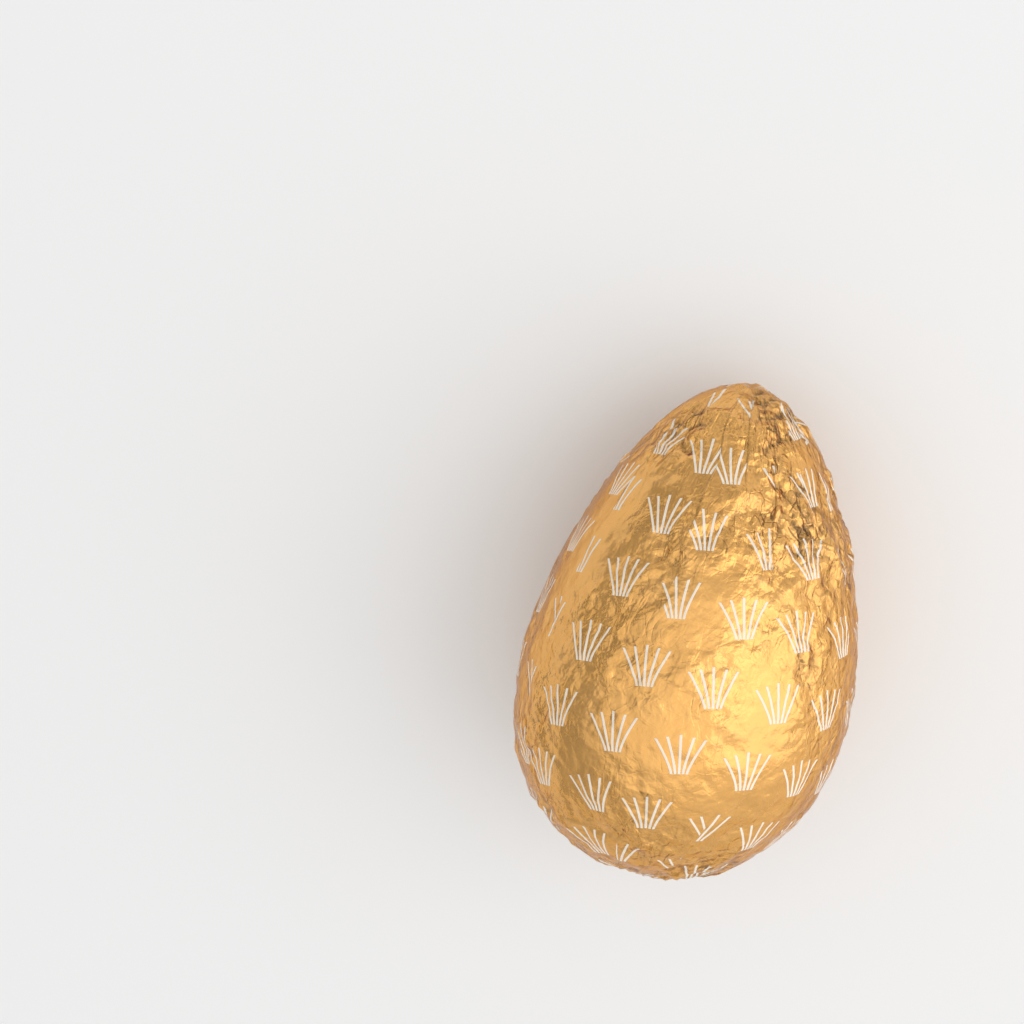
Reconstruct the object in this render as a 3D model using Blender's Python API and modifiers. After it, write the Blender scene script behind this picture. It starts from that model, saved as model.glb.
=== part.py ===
"""A chocolate egg in its foil wrap, lying on its side the way it comes to rest.

The egg is turned about its long axis, then given what the hand and the wrap do to it: both ends
lean a little to one side, the foil is gathered in pleats towards the tip and the blunt end, its
edge laps over itself along the underside, and shallow hollows with creases between them run
over the rest. Where it lies, the foil is pressed to a small flat spot. Units are metres, +Z is
up and the tip points along +Y.
"""

import math

import bmesh
import bpy
from mathutils import Matrix, Vector, noise

# The egg under the foil.
EGG_LENGTH = 0.100
EGG_RADIUS = 0.03205
BLUNT_FULLNESS = 0.241
MIDDLE_FULLNESS = 0.047
END_LEAN = 0.0014

# How it lies: the long axis sinks towards the tip until the weight is over the flat spot.
REST_SINK = math.radians(9.0)
FLAT_SPOT_DEPTH = 0.00035

# The turned mesh.
RINGS = 54
SEGMENTS = 76
WELD = 0.00001

# The foil's relief.
FOIL_PROUD = 0.00025
HOLLOW_DEPTH = 0.00055
HOLLOW_SIZE = 0.014
TIP_PLEATS = 11
TIP_PLEAT_REACH = 0.048
BLUNT_PLEATS = 9
BLUNT_PLEAT_REACH = 0.038
PLEAT_HEIGHT = 0.00055
PLEAT_FLAP = 0.0026
PLEAT_EDGE = 0.0006
PLEAT_SWAY = 0.10
SWAY_LENGTH = 0.0042
POLE_CALM = 0.0035
LAP_ANGLE = math.radians(128.0)
LAP_HEIGHT = 0.00035
LAP_WIDTH = 0.006
LAP_WANDER = 0.0010
WANDER_LENGTH = 0.009
PRESSED_CORE = 0.008
PRESSED_REACH = 0.016

CUTTER_SIDE = 0.2
GOLDEN_SHARE = 0.618034


def smooth_step(low, high, value):
    """0 below low, 1 above high, and a smooth cubic between them."""
    share = min(1.0, max(0.0, (value - low) / (high - low)))
    return share * share * (3.0 - 2.0 * share)


def half_turn(angle):
    """The same angle within half a turn of zero."""
    return (angle + math.pi) % (2.0 * math.pi) - math.pi


def egg_radius(theta):
    """The egg's radius where its height is half the length times cos(theta), 0 at the tip."""
    rise = math.cos(theta)
    swell = 1.0 - BLUNT_FULLNESS * rise + MIDDLE_FULLNESS * rise * rise
    return EGG_RADIUS * math.sin(theta) * swell


def egg_profile():
    """Points down the egg's outer side, from the tip on the axis to the blunt end on the axis."""
    points = []
    for ring in range(RINGS + 1):
        theta = math.pi * ring / RINGS
        radius = 0.0 if ring in (0, RINGS) else egg_radius(theta)
        points.append((radius, 0.0, 0.5 * EGG_LENGTH * math.cos(theta)))
    return points


def foil_material():
    """Gold-lacquered aluminium foil."""
    material = bpy.data.materials.new("gold_lacquered_foil")
    material.use_nodes = True
    shader = material.node_tree.nodes["Principled BSDF"]
    shader.inputs["Base Color"].default_value = (0.83, 0.45, 0.12, 1.0)
    shader.inputs["Metallic"].default_value = 1.0
    shader.inputs["Roughness"].default_value = 0.36
    return material


def turned_egg(collection):
    """The egg upright, tip up, as a mesh turned from its profile by a Screw modifier."""
    mesh = bpy.data.meshes.new("egg_profile")
    points = egg_profile()
    mesh.from_pydata(points, [(i, i + 1) for i in range(len(points) - 1)], [])
    profile = bpy.data.objects.new("egg_profile", mesh)
    collection.objects.link(profile)
    screw = profile.modifiers.new("turned", "SCREW")
    screw.axis = "Z"
    screw.steps = SEGMENTS
    screw.render_steps = SEGMENTS
    screw.use_merge_vertices = True
    screw.merge_threshold = WELD
    bpy.context.view_layer.update()
    graph = bpy.context.evaluated_depsgraph_get()
    turned = bpy.data.meshes.new_from_object(profile.evaluated_get(graph))
    bpy.data.objects.remove(profile)
    return turned


def pleat_angles(count, turn):
    """Uneven angles of the pleats at one end: even steps, each moved on by a golden-ratio share."""
    step = 2.0 * math.pi / count
    return [turn + step * (i + 0.55 * ((i * GOLDEN_SHARE) % 1.0)) for i in range(count)]


def flap_ridge(distance, flap, edge):
    """A folded flap seen end on: it rises over a short edge, then sinks back over the flap."""
    return math.exp(-distance / flap) if distance > 0.0 else math.exp(distance / edge)


def pleats(point, radius, pole_height, angles, reach):
    """Height of the gathered pleats that fan out from one pole, fading out at their reach."""
    away = math.hypot(radius, point.z - pole_height)
    fade = smooth_step(0.0, POLE_CALM, away) * (1.0 - smooth_step(0.45 * reach, reach, away))
    if fade <= 0.0:
        return 0.0
    around = math.atan2(point.y, point.x)
    height = 0.0
    for angle in angles:
        sway = PLEAT_SWAY * math.sin(away / SWAY_LENGTH + 5.0 * angle)
        turn = half_turn(around - angle - sway)
        height = max(height, flap_ridge(turn * radius, PLEAT_FLAP, PLEAT_EDGE))
    return PLEAT_HEIGHT * fade * height


def side_lap(point, radius):
    """Height of the sheet's free edge, which laps over the wrap along the underside."""
    wander = LAP_WANDER * math.sin(point.z / WANDER_LENGTH)
    turn = half_turn(math.atan2(point.y, point.x) - LAP_ANGLE)
    ends = smooth_step(0.12 * EGG_RADIUS, 0.5 * EGG_RADIUS, radius)
    return LAP_HEIGHT * ends * flap_ridge(turn * radius - wander, LAP_WIDTH, PLEAT_EDGE)


def hollows(point):
    """Depth of the shallow hollows, which meet in creases where each of two noises is zero."""
    wide = abs(noise.noise(point / HOLLOW_SIZE))
    narrow = abs(noise.noise(point / (0.5 * HOLLOW_SIZE)))
    return HOLLOW_DEPTH * (wide + 0.5 * narrow)


def foil_relief(point, foot):
    """How far the foil stands proud of the egg at a point of the upright egg."""
    radius = math.hypot(point.x, point.y)
    tip = 0.5 * EGG_LENGTH
    height = FOIL_PROUD - hollows(point)
    height += pleats(point, radius, tip, pleat_angles(TIP_PLEATS, 0.2), TIP_PLEAT_REACH)
    height += pleats(point, radius, -tip, pleat_angles(BLUNT_PLEATS, 0.9), BLUNT_PLEAT_REACH)
    height += side_lap(point, radius)
    return height * smooth_step(PRESSED_CORE, PRESSED_REACH, (point - foot).length)


def wrap(mesh):
    """Moves the turned egg's points out to the foil, and leans both its ends to one side."""
    foot = Vector((0.0, egg_radius(0.5 * math.pi), 0.0))
    shape = bmesh.new()
    shape.from_mesh(mesh)
    bmesh.ops.remove_doubles(shape, verts=shape.verts, dist=WELD)
    bmesh.ops.recalc_face_normals(shape, faces=shape.faces)
    shape.normal_update()
    moves = [vertex.normal * foil_relief(vertex.co, foot) for vertex in shape.verts]
    for vertex, move in zip(shape.verts, moves):
        along = 2.0 * vertex.co.z / EGG_LENGTH
        vertex.co += move
        vertex.co.x -= END_LEAN * along * along
    shape.to_mesh(mesh)
    shape.free()


def lay_down(egg):
    """Lays the egg on its side, centred on the origin, its lowest point a hair into the ground."""
    egg.rotation_euler = (-0.5 * math.pi - REST_SINK, 0.0, 0.0)
    bpy.context.view_layer.update()
    turn = egg.matrix_world.to_3x3()
    points = [turn @ vertex.co for vertex in egg.data.vertices]
    low = Vector([min(point[k] for point in points) for k in range(3)])
    high = Vector([max(point[k] for point in points) for k in range(3)])
    middle = 0.5 * (low + high)
    egg.location = (-middle.x, -middle.y, -low.z - FLAT_SPOT_DEPTH)


def ground_cutter(collection):
    """A block whose top is the ground, which cuts the flat spot."""
    mesh = bpy.data.meshes.new("ground_cutter")
    shape = bmesh.new()
    centre = Matrix.Translation((0.0, 0.0, -0.5 * CUTTER_SIDE))
    bmesh.ops.create_cube(shape, size=CUTTER_SIDE, matrix=centre)
    shape.to_mesh(mesh)
    shape.free()
    cutter = bpy.data.objects.new("ground_cutter", mesh)
    collection.objects.link(cutter)
    cutter.hide_render = True
    cutter.display_type = "WIRE"
    return cutter


def new_collection(name):
    """A collection linked to the scene."""
    collection = bpy.data.collections.new(name)
    bpy.context.scene.collection.children.link(collection)
    return collection


def main():
    for thing in list(bpy.data.objects):
        bpy.data.objects.remove(thing, do_unlink=True)
    parts = new_collection("foil_wrapped_chocolate_egg")
    cutters = new_collection("cutters")
    mesh = turned_egg(parts)
    wrap(mesh)
    mesh.name = "foil_wrapped_egg"
    mesh.materials.clear()
    mesh.materials.append(foil_material())
    mesh.shade_smooth()
    egg = bpy.data.objects.new("foil_wrapped_egg", mesh)
    parts.objects.link(egg)
    lay_down(egg)
    flat = egg.modifiers.new("flat_spot", "BOOLEAN")
    flat.operation = "DIFFERENCE"
    flat.solver = "EXACT"
    flat.object = ground_cutter(cutters)


main()
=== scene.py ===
import math

import bpy
import numpy as np
from mathutils import Matrix, Vector


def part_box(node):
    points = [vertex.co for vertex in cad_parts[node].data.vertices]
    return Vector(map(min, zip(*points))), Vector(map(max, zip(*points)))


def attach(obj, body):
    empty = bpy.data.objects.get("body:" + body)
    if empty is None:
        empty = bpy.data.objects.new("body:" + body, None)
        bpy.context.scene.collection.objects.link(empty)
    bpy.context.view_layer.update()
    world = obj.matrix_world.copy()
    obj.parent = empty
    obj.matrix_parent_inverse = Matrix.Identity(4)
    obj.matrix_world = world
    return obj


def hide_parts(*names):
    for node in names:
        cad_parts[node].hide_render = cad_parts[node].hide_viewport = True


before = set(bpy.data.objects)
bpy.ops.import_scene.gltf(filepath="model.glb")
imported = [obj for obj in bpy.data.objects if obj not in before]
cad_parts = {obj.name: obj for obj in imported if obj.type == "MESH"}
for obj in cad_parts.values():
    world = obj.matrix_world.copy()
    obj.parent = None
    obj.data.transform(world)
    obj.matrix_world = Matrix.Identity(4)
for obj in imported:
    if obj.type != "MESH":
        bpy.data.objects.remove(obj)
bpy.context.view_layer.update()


# ---------------------------------------------------------------------------------------------
# The foil wrap. One sheet of soft aluminium foil, 0.02 mm thick, is smoothed by hand and machine
# over a chocolate egg. What is too wide for the narrowing ends is laid over in long folds, the
# free edge is lapped along the underside, and the whole surface keeps small creases.
# ---------------------------------------------------------------------------------------------

EGG_LENGTH = 0.100
EGG_RADIUS = 0.03205
BLUNT_FULLNESS = 0.241
MIDDLE_FULLNESS = 0.047
ROWS = 246
MERIDIAN_STEPS = 4000


def smooth_step(low, high, value):
    """0 below low, 1 above high, and the cubic 3x^2 - 2x^3 of the share x between them."""
    share = np.clip((value - low) / (high - low), 0.0, 1.0)
    return share * share * (3.0 - 2.0 * share)


def egg_section(theta):
    """Radius R sin(t) (1 - B cos(t) + M cos(t)^2) and height L/2 cos(t) of the bare egg at
    the angle t from the tip."""
    rise = np.cos(theta)
    swell = 1.0 - BLUNT_FULLNESS * rise + MIDDLE_FULLNESS * rise**2
    return EGG_RADIUS * np.sin(theta) * swell, 0.5 * EGG_LENGTH * rise


def meridian(rows):
    """Even steps of arc length down the egg from the tip: the length, radius and height of each
    row, and the outward normal's two parts, which are the tangent turned a quarter turn."""
    theta = np.linspace(0.0, math.pi, MERIDIAN_STEPS + 1)
    radius, height = egg_section(theta)
    length = np.concatenate([[0.0], np.cumsum(np.hypot(np.diff(radius), np.diff(height)))])
    along = np.linspace(0.0, length[-1], rows + 1)
    even_theta = np.interp(along, length, theta)
    radius, height = egg_section(even_theta)
    out = -np.gradient(height, along)
    up = np.gradient(radius, along)
    size = np.hypot(out, up)
    return along, radius, height, out / size, up / size


along, row_radius, row_height, row_out, row_up = meridian(ROWS)
full_length = along[-1]
blunt_run = full_length - along

# Eight lines of long folds run down the egg, at these angles from the line that faces up, and a
# line of small folds stands part of the way to the next. The foil between two lines is a gore.
TOP_LINE = -0.5 * math.pi
FOLD_ANGLES = np.radians([-62.0, -17.0, 22.0, 66.0, 112.0, 158.0, 203.0, 250.0])
SMALL_FOLD_SHARE = np.array([0.44, 0.57, 0.50, 0.41, 0.55, 0.47, 0.60, 0.52])
BLUNT_SHIFT = 0.10
SHIFT_RUN = (0.45, 0.80)
SWAYS = ((0.030, 0.0105), (0.018, 0.0047), (0.010, 0.0021))
SWAY_START = 0.006
FOLD_EDGE = 0.00016
WIDEST_EDGE_SHARE = 0.35
LEAST_RADIUS = 0.0001
COLUMNS_PER_GORE = 25

gaps = np.diff(np.append(FOLD_ANGLES, FOLD_ANGLES[0] + 2.0 * math.pi))
line_angles = np.column_stack([FOLD_ANGLES, FOLD_ANGLES + gaps * SMALL_FOLD_SHARE]).ravel()
line_count = len(line_angles)
rng = np.random.default_rng(11)
blunt_shift = rng.uniform(-BLUNT_SHIFT, BLUNT_SHIFT, line_count)
sway_phase = rng.uniform(0.0, 2.0 * math.pi, (len(SWAYS), line_count))


def line_place():
    """The angle of every fold line at every row: its own angle, shifted a little at the blunt end,
    plus slow sways a sin(s / l + p) of the arc length s, which fade out at both ends."""
    share = smooth_step(*SHIFT_RUN, along / full_length)[:, None]
    sway = sum(width * np.sin(along[:, None] / length + phase)
               for (width, length), phase in zip(SWAYS, sway_phase))
    calm = smooth_step(0.0, SWAY_START, along) * smooth_step(0.0, SWAY_START, blunt_run)
    return line_angles + blunt_shift * share + sway * calm[:, None]


# The first two columns of each gore stand close together, at the foot and at the top of its fold.
lines = line_place()
next_lines = np.column_stack([lines[:, 1:], lines[:, :1] + 2.0 * math.pi])
edge_share = FOLD_EDGE / np.maximum(row_radius, LEAST_RADIUS)[:, None] / (next_lines - lines)
edge_share = np.clip(edge_share, 0.0, WIDEST_EDGE_SHARE)[:, :, None]
inner = edge_share + (1.0 - edge_share) * np.linspace(0.0, 1.0, COLUMNS_PER_GORE)[:-1]
shares = np.concatenate([np.zeros_like(inner[:, :, :1]), inner], axis=2)
column_count = line_count * COLUMNS_PER_GORE
around = lines[:, :, None] + (next_lines - lines)[:, :, None] * shares
around = around.reshape(ROWS + 1, column_count)
gore_of_column = np.repeat(np.arange(line_count), COLUMNS_PER_GORE)

radius = np.broadcast_to(row_radius[:, None], around.shape)
run = np.broadcast_to(along[:, None], around.shape)
turn = around + TOP_LINE
bare = np.stack([radius * np.cos(turn), radius * np.sin(turn),
                 np.broadcast_to(row_height[:, None], around.shape)], axis=-1)
normal = np.stack([row_out[:, None] * np.cos(turn), row_out[:, None] * np.sin(turn),
                   np.broadcast_to(row_up[:, None], around.shape)], axis=-1)
bare_points = bare.reshape(-1, 3)

# Each fold is a low step, about a quarter of a millimetre high, that lies flat again further on.
# Of each pair for the reaches, the first is the least share and the second how much it varies.
FOLD_HEIGHTS = 0.001 * np.array([0.26, 0.30, 0.28, 0.22, 0.24, 0.26, 0.30, 0.24])
SMALL_FOLD_HEIGHT = 0.00024
BLUNT_FOLD_HEIGHT = 0.00022
FOLD_REACH = 0.056
SMALL_FOLD_REACH = 0.034
BLUNT_FOLD_REACH = 0.026
REACH_SHARES = (0.85, 0.3)
SMALL_REACH_SHARES = (0.8, 0.4)
BLUNT_REACH_SHARES = (0.75, 0.5)
FADE_START_SHARE = 0.55
BLUNT_FADE_START_SHARE = 0.5
FOLD_START = 0.001
TIP_FULL_HEIGHT = 0.008
BLUNT_FULL_HEIGHT = 0.006
LAP_FOLD = 6  # the long fold along the underside, which is the sheet's lapped edge
LAP_HEIGHT = 0.00022
FLAP_SHARE = 0.33
FLAP_WIDTHS = (0.0002, 0.004)
GOLDEN_SHARE = 0.618


def uneven(line, least, spread):
    """A number from least to least + spread that steps from line to line by the golden share."""
    return least + spread * ((line * GOLDEN_SHARE) % 1.0)


def fold_relief():
    """Each fold rises over its narrow edge by its height, then sinks back along the flap as
    exp(-d/w), where w is a third of the way to the next fold and 4 mm at the most."""
    tip_fade = smooth_step(FOLD_START, TIP_FULL_HEIGHT, along)
    blunt_fade = smooth_step(FOLD_START, BLUNT_FULL_HEIGHT, blunt_run)
    heights = np.zeros((ROWS + 1, line_count))
    for line in range(line_count):
        is_long = line % 2 == 0
        tip_height = FOLD_HEIGHTS[line // 2] if is_long else SMALL_FOLD_HEIGHT
        reach = (FOLD_REACH * uneven(line, *REACH_SHARES) if is_long
                 else SMALL_FOLD_REACH * uneven(line, *SMALL_REACH_SHARES))
        blunt_reach = BLUNT_FOLD_REACH * uneven(line, *BLUNT_REACH_SHARES)
        tip_part = 1.0 - smooth_step(FADE_START_SHARE * reach, reach, along)
        blunt_part = 1.0 - smooth_step(BLUNT_FADE_START_SHARE * blunt_reach, blunt_reach,
                                       blunt_run)
        heights[:, line] = (tip_height * tip_fade * tip_part
                            + BLUNT_FOLD_HEIGHT * blunt_fade * blunt_part)
    lap = LAP_HEIGHT * tip_fade * blunt_fade
    heights[:, 2 * LAP_FOLD] = np.maximum(heights[:, 2 * LAP_FOLD], lap)
    distance = (around - np.repeat(lines, COLUMNS_PER_GORE, axis=1)) * radius
    gore_width = np.repeat(next_lines - lines, COLUMNS_PER_GORE, axis=1) * radius
    flaps = (np.repeat(heights, COLUMNS_PER_GORE, axis=1)
             * np.exp(-distance / np.clip(FLAP_SHARE * gore_width, *FLAP_WIDTHS)))
    flaps[:, ::COLUMNS_PER_GORE] = 0.0
    return flaps


# How much the foil is creased differs from place to place. Each run says where that share fades,
# in metres from the tip, and from the blunt end for the blunt end's own.
EVEN_CREASING = 0.55
TIP_CREASING = 0.66
TIP_CREASED_RUN = (0.012, 0.058)
BLUNT_CREASING = 0.48
BLUNT_CREASED_RUN = (0.012, 0.036)
SIDE_CREASING = 0.28
SIDE_CREASED_RUN = (0.040, 0.085)
CREASED_SIDE = math.radians(70.0)
PATCH_SIZE = 0.015
PATCH_CREASING = (0.17, 0.36)
CREASING_RANGE = (0.25, 2.0)


def waves(points, wavelength, seed, count=14):
    """Smooth noise: the sum of plane sine waves in random directions at one wavelength or a
    little longer, scaled to a spread of one."""
    rng = np.random.default_rng(seed)
    way = rng.normal(size=(count, 3))
    way /= np.linalg.norm(way, axis=1)[:, None] * wavelength * rng.uniform(1.0, 1.8, (count, 1))
    phase = rng.uniform(0.0, 2.0 * math.pi, count)
    return np.sin(2.0 * math.pi * points @ way.T + phase).sum(axis=1) * math.sqrt(2.0 / count)


def creasing():
    """A base, plus a share near the tip, a share near the blunt end, a share that goes as the
    cosine of the angle from the most creased side, and patches that are stronger at the ends."""
    near_tip = 1.0 - smooth_step(*TIP_CREASED_RUN, run)
    near_blunt = 1.0 - smooth_step(*BLUNT_CREASED_RUN, full_length - run)
    side = np.cos(around - CREASED_SIDE) * (1.0 - smooth_step(*SIDE_CREASED_RUN, run))
    patches = waves(bare_points, PATCH_SIZE, 21).reshape(around.shape)
    patches *= PATCH_CREASING[0] + PATCH_CREASING[1] * np.maximum(near_tip, near_blunt)
    level = (EVEN_CREASING + TIP_CREASING * near_tip + BLUNT_CREASING * near_blunt
             + SIDE_CREASING * side + patches)
    return np.clip(level, *CREASING_RANGE)


CREASE_COUNT = 1400
CREASE_HEIGHT = 0.00021
CREASE_PLACES = (0.015, 0.985)
CREASE_HALF_LENGTHS = (0.0016, 0.0060)
SHORTENING = (0.5, 1.0)
HEIGHT_SHARES = (0.2, 1.0)
CREASE_LEAN = 0.95
CREASE_BOW = 0.12
STEEP_WIDTHS = (0.00035, 0.00060)
GENTLE_WIDTHS = (0.0007, 0.0016)


def crease_relief(level):
    """Short sharp ridges and furrows: each is exp(-|across|/w) across its line, steeper on one
    side, and a parabola along it. More of them run down the egg than across it."""
    rng = np.random.default_rng(5)
    relief = np.zeros(around.shape)
    for _ in range(CREASE_COUNT):
        place = full_length * rng.uniform(*CREASE_PLACES)
        spot = rng.uniform(0.0, 2.0 * math.pi)
        half = rng.uniform(*CREASE_HALF_LENGTHS) * rng.uniform(*SHORTENING)
        lean = rng.normal(0.0, CREASE_LEAN)
        height = rng.choice([-1.0, 1.0]) * rng.uniform(*HEIGHT_SHARES)
        steep, gentle = rng.uniform(*STEEP_WIDTHS), rng.uniform(*GENTLE_WIDTHS)
        bow = rng.normal(0.0, CREASE_BOW) / half
        first, last = np.searchsorted(along, [place - half, place + half])
        if last - first < 2:
            continue
        away = (around[first:last] - spot + math.pi) % (2.0 * math.pi) - math.pi
        right = away * radius[first:last]
        down = run[first:last] - place
        length = right * math.sin(lean) + down * math.cos(lean)
        across = right * math.cos(lean) - down * math.sin(lean) + bow * length**2
        body = np.clip(1.0 - (length / half)**2, 0.0, 1.0)
        slope = np.where(across > 0.0, across / gentle, -across / steep)
        relief[first:last] += height * body * np.exp(-slope)
    return CREASE_HEIGHT * (relief - relief.mean()) * level


# Between the creases the foil is crumpled into flat facets of three sizes, and long rumples run
# down the egg. Each facet size has the slope of its facets, and each rumple width its height.
FACETS = ((0.0090, 0.028, 41), (0.0050, 0.056, 42), (0.0029, 0.125, 43))
FACET_BEND = 0.0003
FACET_BEND_SIZE = 0.009
RUMPLES = ((0.0062, 0.00013, 51), (0.0040, 0.00009, 52))
RUMPLE_STRETCH = 2.6
RUMPLE_BEND = 0.0008
RUMPLE_BEND_SIZE = 0.007
CREST_SHARPNESS = 2.5
CREST_WAVES = 24
NARROWING_POWER = 1.5
FOIL_AREA = 0.0185
CHUNK = 8192


def nearest_squared(points, seeds):
    """Squared distance to the nearest seed, as |p|^2 less the greatest of 2 p.s - |s|^2."""
    best = np.empty(len(points))
    size = (seeds**2).sum(axis=1)
    for start in range(0, len(points), CHUNK):
        part = points[start:start + CHUNK]
        best[start:start + CHUNK] = (2.0 * part @ seeds.T - size).max(axis=1)
    return (points**2).sum(axis=1) - best


def facets(points, spacing, seed):
    """Flat facets that meet in straight creases: the difference of the squared distances to two
    scatters of seeds is linear wherever both nearest seeds stay the same. Its slopes are about
    one when it is divided by the spacing."""
    rng = np.random.default_rng(seed)
    count = int(FOIL_AREA / spacing**2)
    first = bare_points[rng.choice(len(bare_points), count, p=share_of_area)]
    second = bare_points[rng.choice(len(bare_points), count, p=share_of_area)]
    return (nearest_squared(points, first) - nearest_squared(points, second)) / spacing


def ridges(points, wavelength, seed):
    """Crests along the zero lines of smooth noise w, falling off as exp(-k|w|), less their
    mean, so that they neither swell nor shrink the egg."""
    crests = np.exp(-CREST_SHARPNESS * np.abs(waves(points, wavelength, seed, CREST_WAVES)))
    return crests - crests.mean()


def bent_by(points, size, bend, seeds):
    """The points, each moved by three smooth noises of the bare egg's points."""
    return points + bend * np.stack([waves(bare_points, size, seed) for seed in seeds], axis=1)


# The rumples are read round a drum of the egg's width, on which the way down is shortened, and
# they get lower as they close up towards the ends.
level = creasing()
share_of_area = radius.ravel() / radius.sum()
bent = bent_by(bare_points, FACET_BEND_SIZE, FACET_BEND, (31, 32, 33))
drum = np.stack([EGG_RADIUS * np.cos(turn), EGG_RADIUS * np.sin(turn), run / RUMPLE_STRETCH],
                axis=-1).reshape(-1, 3)
drum = bent_by(drum, RUMPLE_BEND_SIZE, RUMPLE_BEND, (34, 35, 36))
narrowing = (radius.ravel() / EGG_RADIUS)**NARROWING_POWER
rumples = narrowing * sum(height * ridges(drum, width, seed) for width, height, seed in RUMPLES)
crumple = sum(slope * facets(bent, size, seed) for size, slope, seed in FACETS) + rumples
folds = fold_relief()
relief = folds + crease_relief(level) + crumple.reshape(around.shape) * level

# The wrap is calm at its two poles and where it is pressed on the table, and tighter at the tip.
# The egg leans a little to one side at both ends.
END_LEAN = 0.0014
TIP_SET = 0.0004
TIP_SLIMMING = 0.0008
SLIM_RUN = (0.020, 0.060)
POLE_CALM = 0.003
PRESSED_SPOT = (0.006, 0.014)
PRESSED_RELIEF = 0.25

foot = np.array([0.0, egg_section(0.5 * math.pi)[0], 0.0])
pressed = smooth_step(*PRESSED_SPOT, np.linalg.norm(bare - foot, axis=-1))
pole_calm = smooth_step(0.0, POLE_CALM, run) * smooth_step(0.0, POLE_CALM, full_length - run)
relief *= pole_calm * (PRESSED_RELIEF + (1.0 - PRESSED_RELIEF) * pressed)
slim = TIP_SLIMMING * (1.0 - smooth_step(*SLIM_RUN, run))
wrapped = bare + normal * (relief - slim)[..., None]
rise = 2.0 * wrapped[..., 2] / EGG_LENGTH
wrapped[..., 0] -= END_LEAN * rise**2
wrapped[..., 0] -= TIP_SET * smooth_step(0.0, 1.0, rise)

# It is laid on its side with the tip a little low, in the middle of its node's box, and what would
# sink into the table is pressed flat.
REST_SINK = math.radians(9.0)
FLAT_SPOT_DEPTH = 0.00035
LOWEST_PERCENT = 0.01

laid = np.array(Matrix.Rotation(-0.5 * math.pi - REST_SINK, 3, "X"))
points = wrapped.reshape(-1, 3) @ laid.T
node_low, node_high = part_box("foil_wrapped_egg")
node_middle = 0.5 * (np.array(node_low) + np.array(node_high))
points[:, :2] += node_middle[:2] - 0.5 * (points.min(axis=0) + points.max(axis=0))[:2]
points[:, 2] -= np.percentile(points[:, 2], LOWEST_PERCENT) + FLAT_SPOT_DEPTH
points[:, 2] = np.maximum(points[:, 2], 0.0)

# The print on the sheet. It keeps its size where the foil gathers, so each gore is laid out flat
# about its own middle line, and the motifs are cut where one gore slides under the next.
SHEET_RADIUS = 0.0322
SMALL_FOLD_PRINT_REACH = 0.034


def sheet_places(columns, gores):
    """Across the sheet, R m + r (a - m) for a long gore's middle m, and nearer the tip than the
    small folds' reach, the same again about the small gore's own middle."""
    place = np.broadcast_to(along[:, None], (ROWS + 1, len(columns)))
    here = np.minimum(row_radius, SHEET_RADIUS)[:, None]
    reach_radius = min(row_radius[np.searchsorted(along, SMALL_FOLD_PRINT_REACH)], SHEET_RADIUS)
    long_first = (gores // 2) * 2
    long_last = (long_first + 2) % line_count
    last = lines[:, long_last] + np.where(long_last == 0, 2.0 * math.pi, 0.0)
    long_middle = 0.5 * (lines[:, long_first] + last)
    small_middle = 0.5 * (lines[:, gores] + next_lines[:, gores])
    turns = np.where(columns >= column_count, 2.0 * math.pi, 0.0)
    angle = around[:, columns % column_count] + turns
    wide = SHEET_RADIUS * long_middle + here * (angle - long_middle)
    inner_middle = SHEET_RADIUS * long_middle + reach_radius * (small_middle - long_middle)
    narrow = inner_middle + here * (angle - small_middle)
    return np.stack([np.where(place < SMALL_FOLD_PRINT_REACH, narrow, wide), place], axis=-1)


# Faces: quads between rows, and a fan of triangles at the tip and at the blunt end.
inner_rows = ROWS - 1
grid = 1 + np.arange(inner_rows * column_count).reshape(inner_rows, column_count)
after = np.roll(grid, -1, axis=1)
quads = np.stack([grid[:-1], grid[1:], after[1:], after[:-1]], axis=-1).reshape(-1, 4)
last_point = 1 + inner_rows * column_count
tip_fan = np.stack([np.zeros(column_count, int), grid[0], after[0]], axis=-1)
blunt_fan = np.stack([np.full(column_count, last_point), after[-1], grid[-1]], axis=-1)


def one_for_each_point(values):
    """The grid's values with each pole's row of equal ones taken once."""
    return np.concatenate([values[0, :1], values[1:-1].reshape(-1, *values.shape[2:]),
                           values[-1, :1]])


mesh = bpy.data.meshes.new("foil_wrap")
mesh.from_pydata(one_for_each_point(points.reshape(ROWS + 1, column_count, 3)).tolist(), [],
                 quads.tolist() + tip_fan.tolist() + blunt_fan.tolist())
mesh.shade_smooth()

columns = np.arange(column_count)
left = sheet_places(columns, gore_of_column)
right = sheet_places(columns + 1, gore_of_column)
quad_uv = np.stack([left[1:-2], left[2:-1], right[2:-1], right[1:-2]], axis=2).reshape(-1, 2)
tip_uv = np.stack([left[0], left[1], right[1]], axis=1).reshape(-1, 2)
blunt_uv = np.stack([left[-1], right[-2], left[-2]], axis=1).reshape(-1, 2)
uv = mesh.uv_layers.new(name="sheet")
uv.data.foreach_set("uv", np.concatenate([quad_uv, tip_uv, blunt_uv]).astype(np.float32).ravel())

# Three attributes of the surface: how creased it is, how hollow, and its place on the drum.
# How hollow it is serves as the mask of the painted shade in the material.
HOLLOW_START = 0.00004
HOLLOW_DEPTH = 0.0001
HOLLOW_CREASING = 0.6
FULL_FOLD_EDGE = 0.0005
FOLD_FOOT_HOLLOW = 0.6


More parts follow.
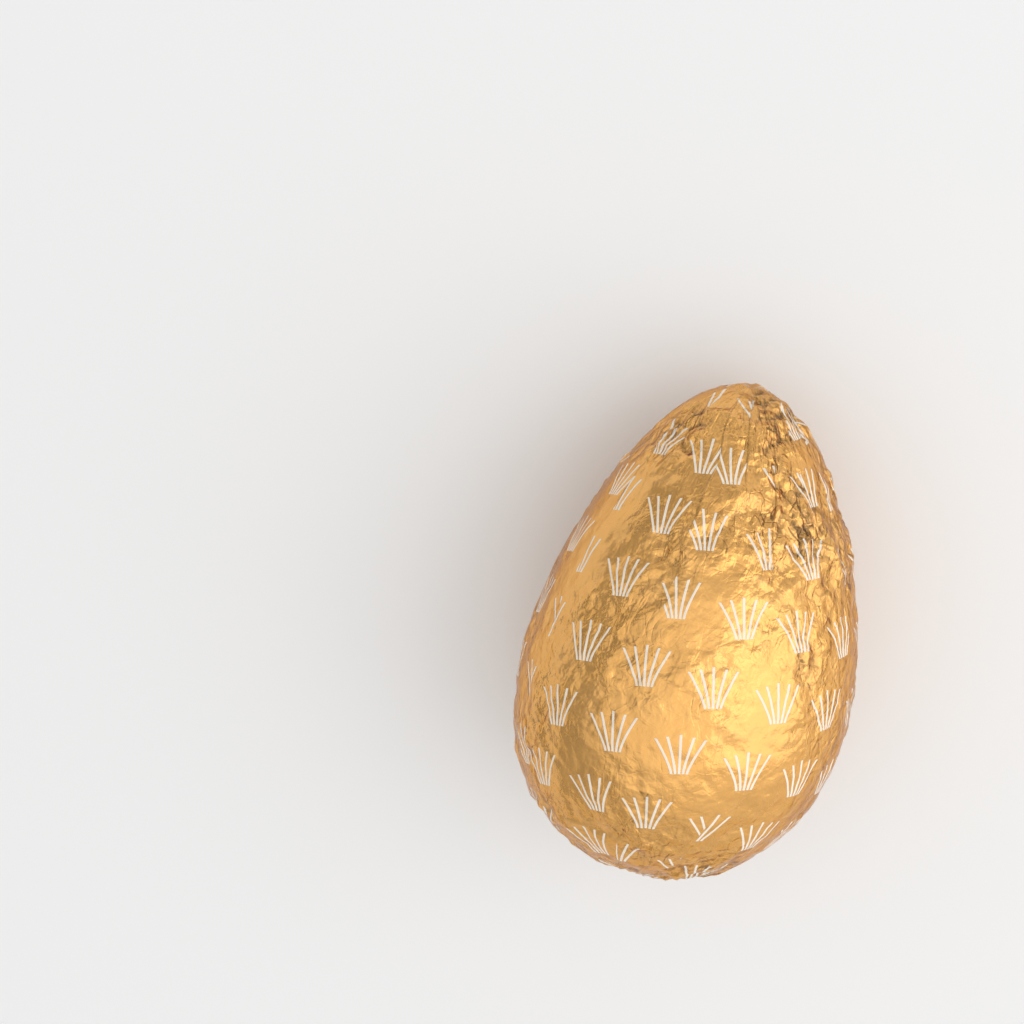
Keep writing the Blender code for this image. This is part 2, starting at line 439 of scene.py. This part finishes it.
def hollowness():
    """How far each point lies below the mean of its neighbourhood, as a share of a depth, where
    the foil is much creased, or how high the fold rises that it lies at the foot of. It is the
    mask of the painted shade in hollows and at the feet of folds."""
    mean = relief.copy()
    for step in (1, 2, 3):
        mean[step:-step] += 0.5 * (relief[2 * step:] + relief[:-2 * step])
        mean += 0.5 * (np.roll(relief, step, axis=1) + np.roll(relief, -step, axis=1))
    mean[3:-3] /= 7.0
    mean[:3] = relief[:3]
    mean[-3:] = relief[-3:]
    hollow = np.clip((mean - relief - HOLLOW_START) / HOLLOW_DEPTH, 0.0, 1.0)
    hollow *= np.clip(level - HOLLOW_CREASING, 0.0, 1.0)
    rise = np.roll(folds, -1, axis=1) - folds
    return np.maximum(hollow, np.clip(rise / FULL_FOLD_EDGE, 0.0, FOLD_FOOT_HOLLOW))


for name, values in (("creasing", level), ("hollow", hollowness())):
    one_each = one_for_each_point(values).astype(np.float32)
    mesh.attributes.new(name, "FLOAT", "POINT").data.foreach_set("value", one_each)
one_each = one_for_each_point(drum.reshape(ROWS + 1, column_count, 3)).astype(np.float32)
mesh.attributes.new("drum", "FLOAT_VECTOR", "POINT").data.foreach_set("vector", one_each.ravel())

foil = bpy.data.objects.new("foil_wrap", mesh)
bpy.context.scene.collection.objects.link(foil)


def colour(code):
    """An sRGB hex code as linear red, green, blue, and a full alpha."""
    share = np.array([int(code[i:i + 2], 16) for i in (1, 3, 5)]) / 255.0
    linear = np.where(share <= 0.04045, share / 12.92, ((share + 0.055) / 1.055)**2.4)
    return (*linear, 1.0)


def add_node(tree, kind, inputs, **settings):
    """Adds a node with its settings. Each input, by socket, is a value to set, a socket to link,
    or a node, whose first output is linked."""
    node = tree.nodes.new(kind)
    for name, value in settings.items():
        setattr(node, name, value)
    for socket, value in inputs.items():
        if isinstance(value, bpy.types.Node):
            value = value.outputs[0]
        if isinstance(value, bpy.types.NodeSocket):
            tree.links.new(value, node.inputs[socket])
        else:
            node.inputs[socket].default_value = value
    return node


# The print: rows of a small tuft of five blades, 8 mm high. The two steps lead from one tuft to
# the next one in its row and to the row below, both in metres on the flat sheet.
PRINT_STEP = (0.0136, 0.00083)
PRINT_ROW_STEP = (-0.00287, 0.01411)
PRINT_ORIGIN = (0.0034, 0.0674)
PRINT_LEAN = math.radians(12.0)
MOTIF_HEIGHT = 0.0080
MOTIF_WIDTH = 0.0106
BLADES = 5
STROKE_WIDTH = 0.00049
STROKE_SOFTNESS = 0.00006
FOOT_SHARE = 0.28
BLADE_CURVE = 1.3
OUTER_SHORTENING = 0.06
TAKEN_UP = 0.0009
TAKEN_UP_SCALE = 600.0
TAKEN_UP_CREASING = (0.8, 2.0)
INK_THICKNESS = 0.000025  # ten times the real film, so that its edge shows


def print_mask(tree, place, level):
    """1 on the print: in each cell of a slanted lattice, blades that spread upwards from one
    foot, each a stroke of even width, which the small creases take up and shift."""
    lattice = np.array([PRINT_STEP, PRINT_ROW_STEP]).T
    cell_of_place = np.linalg.inv(lattice)
    cosine, sine = math.cos(PRINT_LEAN), math.sin(PRINT_LEAN)
    motif_of_cell = np.array([[cosine, -sine], [-sine, -cosine]]) @ lattice
    blade_gap = MOTIF_WIDTH / (BLADES - 1)
    taken_up = add_node(tree, "ShaderNodeTexNoise",
                        {"Vector": place, "Scale": TAKEN_UP_SCALE, "Detail": 0.0})
    taken_up = add_node(tree, "ShaderNodeVectorMath",
                        {0: taken_up.outputs["Color"], 1: (0.5, 0.5, 0.5)}, operation="SUBTRACT")
    reach = add_node(tree, "ShaderNodeMapRange",
                     {0: level, 1: TAKEN_UP_CREASING[0], 2: TAKEN_UP_CREASING[1], 3: 0.0,
                      4: TAKEN_UP})
    taken_up = add_node(tree, "ShaderNodeVectorMath", {0: taken_up, "Scale": reach},
                        operation="SCALE")
    sheet = add_node(tree, "ShaderNodeUVMap", {}, uv_map="sheet")
    sheet = add_node(tree, "ShaderNodeVectorMath", {0: sheet, 1: (*PRINT_ORIGIN, 0.0)},
                     operation="SUBTRACT")
    sheet = add_node(tree, "ShaderNodeVectorMath", {0: sheet, 1: taken_up}, operation="ADD")
    cell = [add_node(tree, "ShaderNodeVectorMath", {0: sheet, 1: (*row, 0.0)},
                     operation="DOT_PRODUCT").outputs["Value"] for row in cell_of_place]
    cell = add_node(tree, "ShaderNodeCombineXYZ", {0: cell[0], 1: cell[1]})
    cell = add_node(tree, "ShaderNodeVectorMath", {0: cell, 1: (0.5, 0.5, 0.5)}, operation="ADD")
    cell = add_node(tree, "ShaderNodeVectorMath", {0: cell}, operation="FRACTION")
    cell = add_node(tree, "ShaderNodeVectorMath", {0: cell, 1: (0.5, 0.5, 0.5)},
                    operation="SUBTRACT")
    right, rise = [add_node(tree, "ShaderNodeVectorMath", {0: cell, 1: (*row, 0.0)},
                            operation="DOT_PRODUCT").outputs["Value"] for row in motif_of_cell]
    share = add_node(tree, "ShaderNodeMath", {0: rise, 1: 1.0 / MOTIF_HEIGHT, 2: 0.5},
                     operation="MULTIPLY_ADD")
    opening = add_node(tree, "ShaderNodeMath", {0: share, 1: BLADE_CURVE}, operation="POWER")
    spread = add_node(tree, "ShaderNodeMath",
                      {0: opening, 1: (1.0 - FOOT_SHARE) * blade_gap, 2: FOOT_SHARE * blade_gap},
                      operation="MULTIPLY_ADD")
    blade = add_node(tree, "ShaderNodeMath", {0: right, 1: spread}, operation="DIVIDE")
    index = add_node(tree, "ShaderNodeMath", {0: blade}, operation="ROUND")
    gap = add_node(tree, "ShaderNodeMath", {0: blade, 1: index}, operation="SUBTRACT")
    gap = add_node(tree, "ShaderNodeMath", {0: gap}, operation="ABSOLUTE")
    distance = add_node(tree, "ShaderNodeMath", {0: gap, 1: spread}, operation="MULTIPLY")
    stroke = add_node(tree, "ShaderNodeMapRange",
                      {0: distance, 1: 0.5 * STROKE_WIDTH - STROKE_SOFTNESS,
                       2: 0.5 * STROKE_WIDTH + STROKE_SOFTNESS, 3: 1.0, 4: 0.0},
                      interpolation_type="SMOOTHSTEP")
    side = add_node(tree, "ShaderNodeMath", {0: index}, operation="ABSOLUTE")
    few = add_node(tree, "ShaderNodeMath", {0: side, 1: 0.5 * BLADES}, operation="LESS_THAN")
    low = add_node(tree, "ShaderNodeMath", {0: share, 1: 0.0}, operation="GREATER_THAN")
    top = add_node(tree, "ShaderNodeMath", {0: side, 1: -OUTER_SHORTENING, 2: 1.0},
                   operation="MULTIPLY_ADD")
    short = add_node(tree, "ShaderNodeMath", {0: share, 1: top}, operation="LESS_THAN")
    mask = stroke
    for kept in (few, low, short):
        mask = add_node(tree, "ShaderNodeMath", {0: mask, 1: kept}, operation="MULTIPLY")
    return mask


# What is finer than the mesh. Scales are cells to the metre, and heights and depths are in metres.
# The grain is the mark of the mill's rolls, drawn coarser than it is, so that it shows.
FINE_BEND = 0.0004
FINE_BEND_SCALE = 300.0
VEIN_WIDTH = 0.055
VEIN_SIGN_SCALE = 0.55
VEIN_SIGNS = (0.36, 0.64)
NET_SIGN_SCALE = 0.9
NET_SIGNS = (0.40, 0.64)
FURROW_DEPTHS = (-0.00003, -0.00009)
GRAIN = ((900.0, 0.000036), (2200.0, 0.000022))


def fine_creases(tree, place, level):
    """Height in metres of what is finer than the mesh, and the share of it that is a furrow, which
    is the mask of painted shade in the fine creases.
    Flat facets are the difference of two squared cell distances, (a^2 - b^2) / scale. Veins run
    where smooth noise crosses its middle, and straight creases along the borders of cells. Both
    rise or sink as a second noise says. What is read on the drum is stretched down the egg."""
    drum = add_node(tree, "ShaderNodeAttribute", {}, attribute_name="drum").outputs["Vector"]
    bend = add_node(tree, "ShaderNodeTexNoise",
                    {"Vector": place, "Scale": FINE_BEND_SCALE, "Detail": 2.0}).outputs["Color"]
    bent, drum_bent = [
        add_node(tree, "ShaderNodeVectorMath", {0: bend, 1: (FINE_BEND,) * 3, 2: start},
                 operation="MULTIPLY_ADD") for start in (place, drum)]

    height = 0.0
    for start, scale, slope, shift in ((bent, 240.0, 0.085, 0.23), (bent, 420.0, 0.105, 0.37),
                                       (drum_bent, 560.0, 0.060, 0.61),
                                       (bent, 820.0, 0.095, 0.53)):
        moved = add_node(tree, "ShaderNodeVectorMath", {0: start, 1: (shift,) * 3},
                         operation="ADD")
        reaches = [add_node(tree, "ShaderNodeTexVoronoi", {"Vector": spot, "Scale": scale})
                   for spot in (start, moved)]
        squares = [add_node(tree, "ShaderNodeMath", {0: reach, 1: reach}, operation="MULTIPLY")
                   for reach in reaches]
        facet = add_node(tree, "ShaderNodeMath", {0: squares[0], 1: squares[1]},
                         operation="SUBTRACT")
        height = add_node(tree, "ShaderNodeMath", {0: facet, 1: slope / scale, 2: height},
                          operation="MULTIPLY_ADD")

    veins = 0.0
    for scale, depth in ((230.0, 0.000060), (480.0, 0.000026)):
        line = add_node(tree, "ShaderNodeTexNoise",
                        {"Vector": drum, "Scale": scale, "Detail": 1.0})
        line = add_node(tree, "ShaderNodeMath", {0: line, 1: 0.5}, operation="SUBTRACT")
        line = add_node(tree, "ShaderNodeMath", {0: line}, operation="ABSOLUTE")
        line = add_node(tree, "ShaderNodeMapRange",
                        {0: line, 1: 0.0, 2: VEIN_WIDTH, 3: 1.0, 4: 0.0},
                        interpolation_type="SMOOTHSTEP")
        sign = add_node(tree, "ShaderNodeTexNoise",
                        {"Vector": place, "Scale": VEIN_SIGN_SCALE * scale, "Detail": 1.0})
        sign = add_node(tree, "ShaderNodeMapRange",
                        {0: sign, 1: VEIN_SIGNS[0], 2: VEIN_SIGNS[1], 3: -1.0, 4: 1.0})
        line = add_node(tree, "ShaderNodeMath", {0: line, 1: sign}, operation="MULTIPLY")
        veins = add_node(tree, "ShaderNodeMath", {0: line, 1: depth, 2: veins},
                         operation="MULTIPLY_ADD")

    for start, scale, width, depth in ((drum_bent, 230.0, 0.060, 0.000060),
                                       (bent, 330.0, 0.070, 0.000045)):
        edge = add_node(tree, "ShaderNodeTexVoronoi", {"Vector": start, "Scale": scale},
                        feature="DISTANCE_TO_EDGE")
        edge = add_node(tree, "ShaderNodeMapRange", {0: edge, 1: 0.0, 2: width, 3: 1.0, 4: 0.0},
                        interpolation_type="SMOOTHSTEP")
        sign = add_node(tree, "ShaderNodeTexNoise",
                        {"Vector": place, "Scale": NET_SIGN_SCALE * scale, "Detail": 0.0})
        sign = add_node(tree, "ShaderNodeMapRange",
                        {0: sign, 1: NET_SIGNS[0], 2: NET_SIGNS[1], 3: -1.0, 4: 1.0})
        edge = add_node(tree, "ShaderNodeMath", {0: edge, 1: sign}, operation="MULTIPLY")
        veins = add_node(tree, "ShaderNodeMath", {0: edge, 1: depth, 2: veins},
                         operation="MULTIPLY_ADD")
    # The furrow share: deep veins and creases, where the colour gets painted shade.
    furrow = add_node(tree, "ShaderNodeMath", {0: veins, 1: level}, operation="MULTIPLY")
    furrow = add_node(tree, "ShaderNodeMapRange",
                      {0: furrow, 1: FURROW_DEPTHS[0], 2: FURROW_DEPTHS[1], 3: 0.0, 4: 1.0})

    height = add_node(tree, "ShaderNodeMath", {0: height, 1: veins}, operation="ADD")
    height = add_node(tree, "ShaderNodeMath", {0: height, 1: level}, operation="MULTIPLY")
    for scale, depth in GRAIN:
        grain = add_node(tree, "ShaderNodeTexNoise",
                         {"Vector": place, "Scale": scale, "Detail": 2.0})
        height = add_node(tree, "ShaderNodeMath", {0: grain, 1: depth, 2: height},
                          operation="MULTIPLY_ADD")
    return height, furrow


# Gold-lacquered aluminium foil with a white print. The clear yellow lacquer over the metal gives
# a warm gold mirror that is blurred by the foil's rolled grain; the opaque ink is a soft white.
GOLD = colour("#F3B460")
PALE_GOLD = colour("#F6BC6D")
# GOLD_IN_SHADE and FURROW_SHADE are painted shade: the dark brown that furrows, hollows and fold
# feet are mixed towards, and the most of that mix.
GOLD_IN_SHADE = colour("#553C22")
INK = colour("#FAF0E0")
MOTTLE_SCALE = 90.0
FURROW_SHADE = 0.74
SATIN = (0.23, 0.31)
INK_ROUGHNESS = 0.45


def foil_material():
    """The foil's look: gold metal under lacquer, white ink, and creases finer than the mesh.
    Furrows, hollows and the feet of folds get painted shade: their gold is mixed towards a
    dark brown."""
    material = bpy.data.materials.new("gold_lacquered_aluminium_foil")
    material.use_nodes = True
    tree = material.node_tree
    tree.nodes.clear()
    place = add_node(tree, "ShaderNodeTexCoord", {}).outputs["Object"]
    level = add_node(tree, "ShaderNodeAttribute", {}, attribute_name="creasing").outputs["Fac"]
    hollow = add_node(tree, "ShaderNodeAttribute", {}, attribute_name="hollow").outputs["Fac"]
    ink = print_mask(tree, place, level)
    height, furrow = fine_creases(tree, place, level)
    height = add_node(tree, "ShaderNodeMath", {0: ink, 1: INK_THICKNESS, 2: height},
                      operation="MULTIPLY_ADD")
    bump = add_node(tree, "ShaderNodeBump", {"Height": height, "Strength": 1.0, "Distance": 1.0})

    mottle = add_node(tree, "ShaderNodeTexNoise",
                      {"Vector": place, "Scale": MOTTLE_SCALE, "Detail": 4.0})
    gold = add_node(tree, "ShaderNodeMix", {0: mottle, 6: GOLD, 7: PALE_GOLD},
                    data_type="RGBA").outputs[2]
    # Painted shade: furrows, hollows and fold feet are darkened in the base colour, standing in
    # for the shade of the creases.
    shade = add_node(tree, "ShaderNodeMath", {0: furrow, 1: hollow}, operation="MAXIMUM")
    shade = add_node(tree, "ShaderNodeMath", {0: shade, 1: FURROW_SHADE}, operation="MULTIPLY")
    gold = add_node(tree, "ShaderNodeMix", {0: shade, 6: gold, 7: GOLD_IN_SHADE},
                    data_type="RGBA").outputs[2]
    base = add_node(tree, "ShaderNodeMix", {0: ink, 6: gold, 7: INK},
                    data_type="RGBA").outputs[2]
    satin = add_node(tree, "ShaderNodeMapRange",
                     {0: mottle, 1: 0.3, 2: 0.7, 3: SATIN[0], 4: SATIN[1]})
    rough = add_node(tree, "ShaderNodeMix", {0: ink, 2: satin, 3: INK_ROUGHNESS},
                     data_type="FLOAT")
    metal = add_node(tree, "ShaderNodeMath", {0: 1.0, 1: ink}, operation="SUBTRACT")
    shader = add_node(tree, "ShaderNodeBsdfPrincipled", {
        "Base Color": base, "Metallic": metal, "Roughness": rough, "Normal": bump,
        "Specular Tint": colour("#C09A78"), "Coat Weight": 0.60, "Coat Roughness": 0.2,
    })
    add_node(tree, "ShaderNodeOutputMaterial", {0: shader})
    return material


mesh.materials.append(foil_material())
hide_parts("foil_wrapped_egg")
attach(foil, "root")


# ---------------------------------------------------------------------------------------------
# The studio: a plain white table, a room whose walls glow softly, most at the ceiling and on the
# right, and three softboxes: a wide one overhead, a large one on the right, and a narrow key.
# ---------------------------------------------------------------------------------------------

FLOOR_SIZE = 6.0
ROOM_GLOW = 0.50
GLOW_GROWTH = (0.25, 0.0, 0.36)

half = 0.5 * FLOOR_SIZE
floor_mesh = bpy.data.meshes.new("floor")
floor_mesh.from_pydata([(-half, -half, 0.0), (half, -half, 0.0), (half, half, 0.0),
                        (-half, half, 0.0)], [], [(0, 1, 2, 3)])
floor = bpy.data.objects.new("floor", floor_mesh)
bpy.context.scene.collection.objects.link(floor)

# Matt white paper: it gives an even ground with a soft shadow, and a pale glow under the egg.
paper = bpy.data.materials.new("white_paper")
paper.use_nodes = True
paper.node_tree.nodes["Principled BSDF"].inputs["Base Color"].default_value = colour("#F4F4F4")
paper.node_tree.nodes["Principled BSDF"].inputs["Roughness"].default_value = 0.9
floor_mesh.materials.append(paper)

world = bpy.data.worlds.new("studio")
world.use_nodes = True
room = world.node_tree
way = add_node(room, "ShaderNodeTexCoord", {}).outputs["Generated"]
glow = add_node(room, "ShaderNodeVectorMath", {0: way, 1: GLOW_GROWTH},
                operation="DOT_PRODUCT").outputs["Value"]
glow = add_node(room, "ShaderNodeMath", {0: glow, 1: ROOM_GLOW}, operation="ADD")
room.links.new(glow.outputs[0], room.nodes["Background"].inputs["Strength"])
room.nodes["Background"].inputs["Color"].default_value = colour("#FFFFFF")
bpy.context.scene.world = world

egg_middle = Vector((0.0, 0.0, 0.033))


def add_softbox(name, way, distance, size, radiance):
    """A rectangular area lamp that faces the egg from a direction. Its first size lies level and
    its second at right angles to that, and power = radiance pi area."""
    lamp = bpy.data.lights.new(name, "AREA")
    lamp.shape = "RECTANGLE"
    lamp.size, lamp.size_y = size
    lamp.energy = radiance * math.pi * size[0] * size[1]
    box = bpy.data.objects.new(name, lamp)
    box.location = egg_middle + distance * Vector(way).normalized()
    box.rotation_euler = (egg_middle - box.location).to_track_quat("-Z", "Y").to_euler()
    bpy.context.scene.collection.objects.link(box)


add_softbox("overhead_softbox", (-0.35, 0.03, 1.0), 1.10, (1.35, 2.20), 0.26)
add_softbox("right_softbox", (0.80, 0.16, 0.56), 1.05, (1.15, 1.30), 0.62)
add_softbox("key_softbox", (0.53, 0.37, 0.81), 1.0, (0.38, 0.80), 0.38)

# The camera looks down on the egg from a little past the tip's side, turned so that the tip
# points to the upper right.
CAMERA_DISTANCE = 0.75
CAMERA_LEAN = math.radians(18.5)
CAMERA_ROLL = math.radians(13.5)
VIEW_WIDTH = 0.2022
EGG_OFFSET = (0.0368, -0.0243)

camera_data = bpy.data.cameras.new("camera")
camera_data.sensor_width = 36.0
camera_data.lens = camera_data.sensor_width * CAMERA_DISTANCE / VIEW_WIDTH
camera = bpy.data.objects.new("camera", camera_data)
bpy.context.scene.collection.objects.link(camera)
back = Vector((0.0, math.sin(CAMERA_LEAN), math.cos(CAMERA_LEAN)))
tip_way = Vector((0.0, math.cos(CAMERA_LEAN), -math.sin(CAMERA_LEAN)))
side_way = tip_way.cross(back)
up = math.cos(CAMERA_ROLL) * tip_way - math.sin(CAMERA_ROLL) * side_way
right_way = up.cross(back)
turned = Matrix((right_way, up, back)).transposed()
aim = egg_middle - EGG_OFFSET[0] * right_way - EGG_OFFSET[1] * up
camera.matrix_world = Matrix.Translation(aim + CAMERA_DISTANCE * back) @ turned.to_4x4()
bpy.context.scene.camera = camera
bpy.context.scene.view_settings.view_transform = "Standard"
